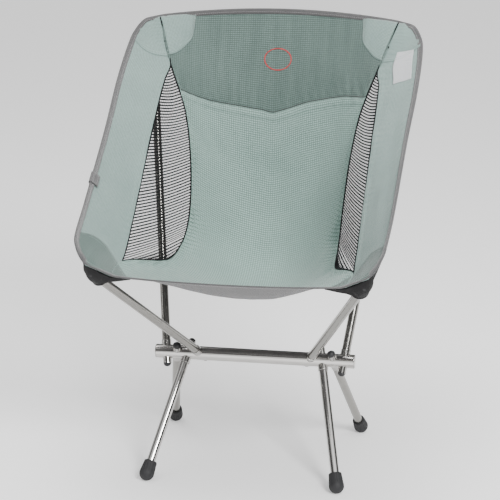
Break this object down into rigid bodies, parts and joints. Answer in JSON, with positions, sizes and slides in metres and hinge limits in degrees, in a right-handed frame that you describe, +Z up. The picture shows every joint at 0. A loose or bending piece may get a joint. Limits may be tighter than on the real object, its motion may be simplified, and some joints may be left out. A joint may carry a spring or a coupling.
{
  "type": "backpacking chair",
  "caption": "Low folding camp chair: sling seat with mesh sides on aluminium poles and legs plugged into a round hub beam, with rubber feet.",
  "frame": {"origin": "on the floor under the middle of the chair's outline", "axes": "+Z up; the sitter faces -Y; +X runs along the hub beam, to the right as seen from in front"},
  "size_m": [0.4606, 0.49, 0.6572],
  "materials": {
    "polished_aluminium": "polished, round section",
    "socket_aluminium": "satin turned",
    "tube_aluminium": "bright anodised",
    "ferrule_aluminium": "mill finish",
    "black_plastic": "moulded, fine grain",
    "foot_rubber": "ribbed, matt",
    "shock_cord": "braided elastic cord",
    "seat_fabric": "ripstop weave, sage",
    "head_fabric": "ripstop weave, darker sage",
    "side_fabric": "fine plain weave, light sage",
    "mesh_fabric": "open black net",
    "binding_tape": "woven grey tape",
    "pocket_fabric": "coated dark webbing cloth",
    "tag_fabric": "woven white tag, blank"
  },
  "bodies": {
    "frame": {"beam_caps": "black_plastic", "care_tag": "tag_fabric", "edge_binding_left": "binding_tape", "edge_binding_right": "binding_tape", "front_binding": "binding_tape", "front_leg_cord_left": "shock_cord", "front_leg_cord_right": "shock_cord", "front_leg_socket_left": "socket_aluminium", "front_leg_socket_right": "socket_aluminium", "front_pocket_left": "pocket_fabric", "front_pocket_right": "pocket_fabric", "front_pole_cord_left": "shock_cord", "front_pole_cord_right": "shock_cord", "front_pole_ferrule_left": "ferrule_aluminium", "front_pole_ferrule_right": "ferrule_aluminium", "front_pole_lower_left": "tube_aluminium", "front_pole_lower_right": "tube_aluminium", "front_pole_socket_left": "socket_aluminium", "front_pole_socket_right": "socket_aluminium", "front_pole_tip_left": "black_plastic", "front_pole_tip_right": "black_plastic", "front_pole_upper_left": "tube_aluminium", "front_pole_upper_right": "tube_aluminium", "head_panel": "head_fabric", "hub_beam": "polished_aluminium", "mesh_panel_left": "mesh_fabric", "mesh_panel_right": "mesh_fabric", "rear_leg_cord_left": "shock_cord", "rear_leg_cord_right": "shock_cord", "rear_leg_socket_left": "socket_aluminium", "rear_leg_socket_right": "socket_aluminium", "rear_pole_cord_left": "shock_cord", "rear_pole_cord_right": "shock_cord", "rear_pole_ferrule_left": "ferrule_aluminium", "rear_pole_ferrule_right": "ferrule_aluminium", "rear_pole_lower_left": "tube_aluminium", "rear_pole_lower_right": "tube_aluminium", "rear_pole_socket_left": "socket_aluminium", "rear_pole_socket_right": "socket_aluminium", "rear_pole_tip_left": "black_plastic", "rear_pole_tip_right": "black_plastic", "rear_pole_upper_left": "tube_aluminium", "rear_pole_upper_right": "tube_aluminium", "seat_panel": "seat_fabric", "side_panel_left": "side_fabric", "side_panel_right": "side_fabric", "side_strap": "binding_tape", "stub_plugs_left": "black_plastic", "stub_plugs_right": "black_plastic", "top_binding": "binding_tape", "top_pocket_left": "pocket_fabric", "top_pocket_right": "pocket_fabric"},
    "front_leg_left": {"front_leg_tube_left": "tube_aluminium", "front_foot_left": "foot_rubber"},
    "front_leg_right": {"front_leg_tube_right": "tube_aluminium", "front_foot_right": "foot_rubber"},
    "rear_leg_left": {"rear_leg_tube_left": "tube_aluminium", "rear_foot_left": "foot_rubber"},
    "rear_leg_right": {"rear_leg_tube_right": "tube_aluminium", "rear_foot_right": "foot_rubber"}
  },
  "joints": [
    {"name": "front_leg_pull_left", "type": "slide", "parent": "frame", "child": "front_leg_left", "axis": [-0.1972, -0.6104, -0.7671], "range_m": [0, 0.05], "stiffness_N_per_m": 60, "springref_m": -0.1},
    {"name": "front_leg_pull_right", "type": "slide", "parent": "frame", "child": "front_leg_right", "axis": [0.1972, -0.6104, -0.7671], "range_m": [0, 0.05], "stiffness_N_per_m": 60, "springref_m": -0.1},
    {"name": "rear_leg_pull_left", "type": "slide", "parent": "frame", "child": "rear_leg_left", "axis": [-0.1506, 0.6461, -0.7482], "range_m": [0, 0.05], "stiffness_N_per_m": 60, "springref_m": -0.1},
    {"name": "rear_leg_pull_right", "type": "slide", "parent": "frame", "child": "rear_leg_right", "axis": [0.1506, 0.6461, -0.7482], "range_m": [0, 0.05], "stiffness_N_per_m": 60, "springref_m": -0.1}
  ]
}
